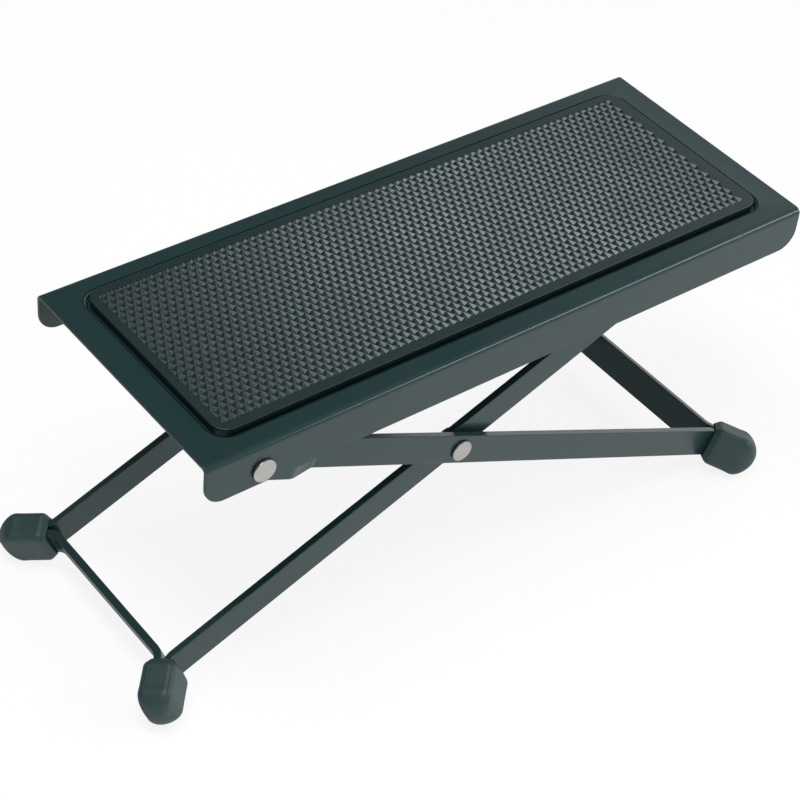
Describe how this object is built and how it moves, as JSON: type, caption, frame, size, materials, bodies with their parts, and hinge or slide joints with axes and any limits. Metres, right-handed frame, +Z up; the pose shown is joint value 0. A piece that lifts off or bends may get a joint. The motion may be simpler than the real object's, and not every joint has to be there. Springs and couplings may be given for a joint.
{
  "type": "guitar footrest",
  "caption": "Folding guitar footrest with a pitted rubber mat on a pressed steel platform, carried by crossed bent-strip leg frames that latch in toothed racks.",
  "frame": {"origin": "on the floor, under the middle of the bounding box", "axes": "+Z up, +X along the platform from the pivot end to the latch end, +Y across it towards the far side"},
  "size_m": [0.3092, 0.1246, 0.1409],
  "materials": {
    "black_enamel": "semi-gloss",
    "mat_rubber": "matt, moulded",
    "cap_rubber": "satin, moulded",
    "bare_steel": "bright, bare",
    "zinc_steel": "zinc plated",
    "nylon": "satin"
  },
  "bodies": {
    "platform": {"platform": "black_enamel", "rubber_mat": "mat_rubber", "rack_near": "black_enamel", "rack_far": "black_enamel", "pivot_rivet_near": "bare_steel", "pivot_rivet_far": "bare_steel", "pivot_washer_near": "nylon", "pivot_washer_far": "nylon"},
    "outer_frame": {"outer_leg_frame": "black_enamel", "crossing_rivet_near": "bare_steel", "crossing_rivet_far": "bare_steel", "crossing_spacer_near": "nylon", "crossing_spacer_far": "nylon", "crossing_washer_near": "nylon", "crossing_washer_far": "nylon", "outer_foot_cap_near": "cap_rubber", "outer_foot_cap_far": "cap_rubber"},
    "inner_frame": {"inner_leg_frame": "black_enamel", "latch_rod": "zinc_steel", "inner_foot_cap_near": "cap_rubber", "inner_foot_cap_far": "cap_rubber"}
  },
  "joints": [
    {"name": "fold", "type": "hinge", "parent": "platform", "child": "outer_frame", "pos_m": [-0.11451, 0, 0.11311], "axis": [0, 1, 0], "range_deg": [-21.4, 20.2]},
    {"name": "scissor", "type": "hinge", "parent": "outer_frame", "child": "inner_frame", "pos_m": [-0.01364, 0, 0.07314], "axis": [0, 1, 0], "range_deg": [-41, 43.5]}
  ],
  "couplings": [
    {"joint": "scissor", "follows": "fold", "ratio": -2}
  ]
}
